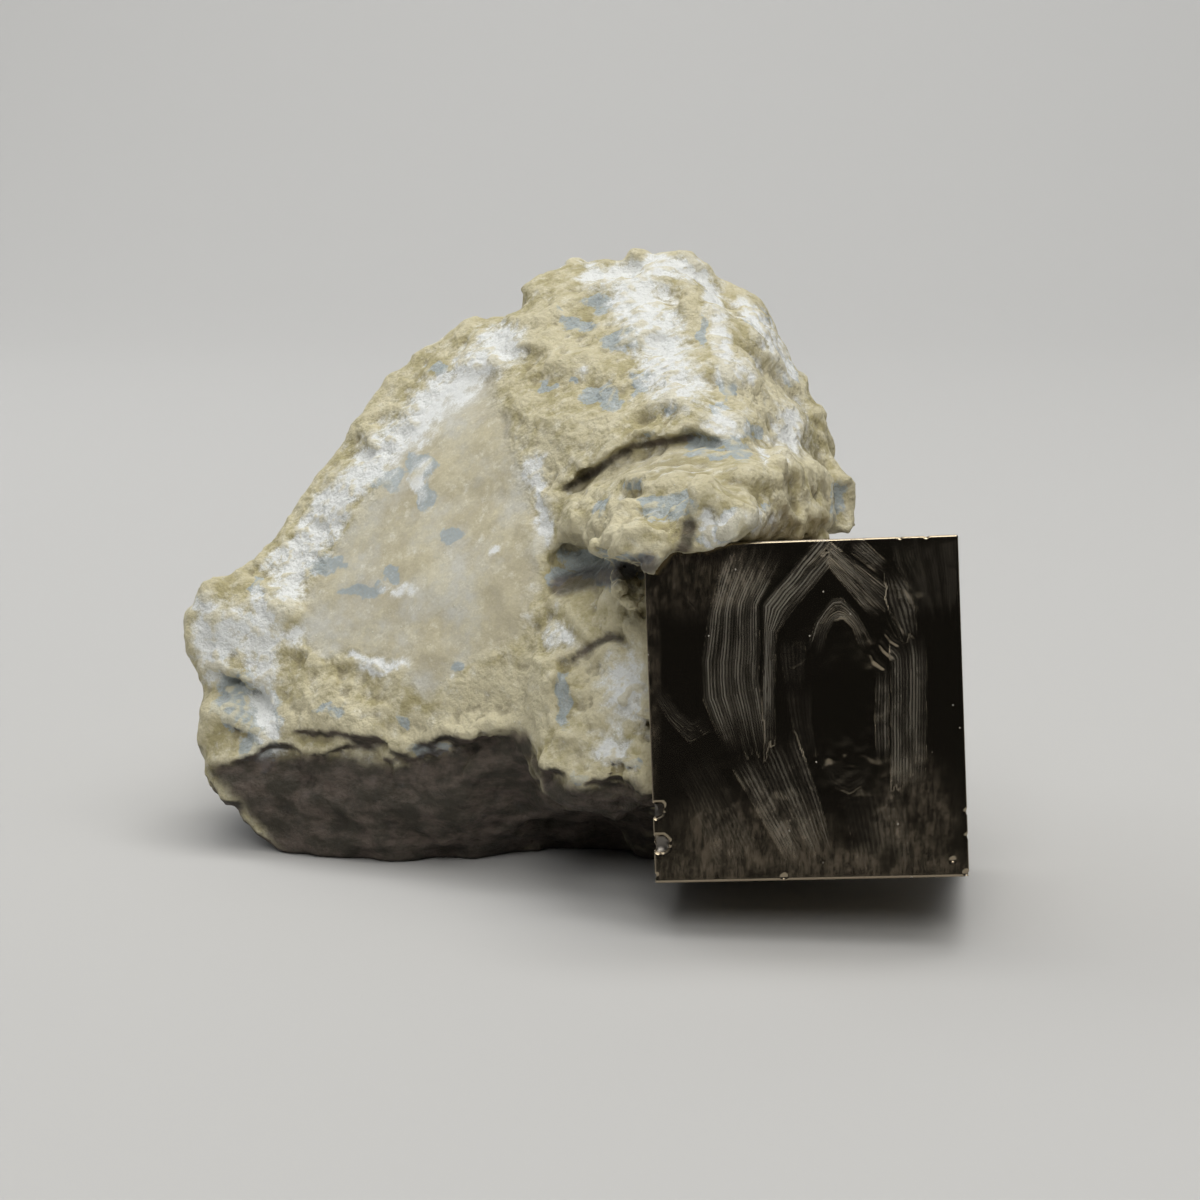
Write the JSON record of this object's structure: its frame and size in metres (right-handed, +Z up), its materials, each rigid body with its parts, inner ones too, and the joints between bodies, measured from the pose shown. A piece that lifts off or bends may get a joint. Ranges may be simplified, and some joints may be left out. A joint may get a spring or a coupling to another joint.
{
  "type": "pyrite crystal specimen on matrix rock",
  "caption": "Natural mineral specimen: a dark, mirror-faced pyrite crystal, almost a cube, set in the corner of a rough block of pale marl that stands on a flat broken face.",
  "frame": {"origin": "middle of the specimen's bounding box at the height of the flat face that it rests on", "axes": "+Z up, +X to the right as seen from the front, and the crystal's large free face looks towards -Y"},
  "size_m": [0.0508, 0.0476, 0.0381],
  "materials": {
    "marl": "matte",
    "pyrite": "polished"
  },
  "bodies": {
    "root": {"matrix_rock": "marl", "pyrite_cube": "pyrite"}
  },
  "joints": []
}
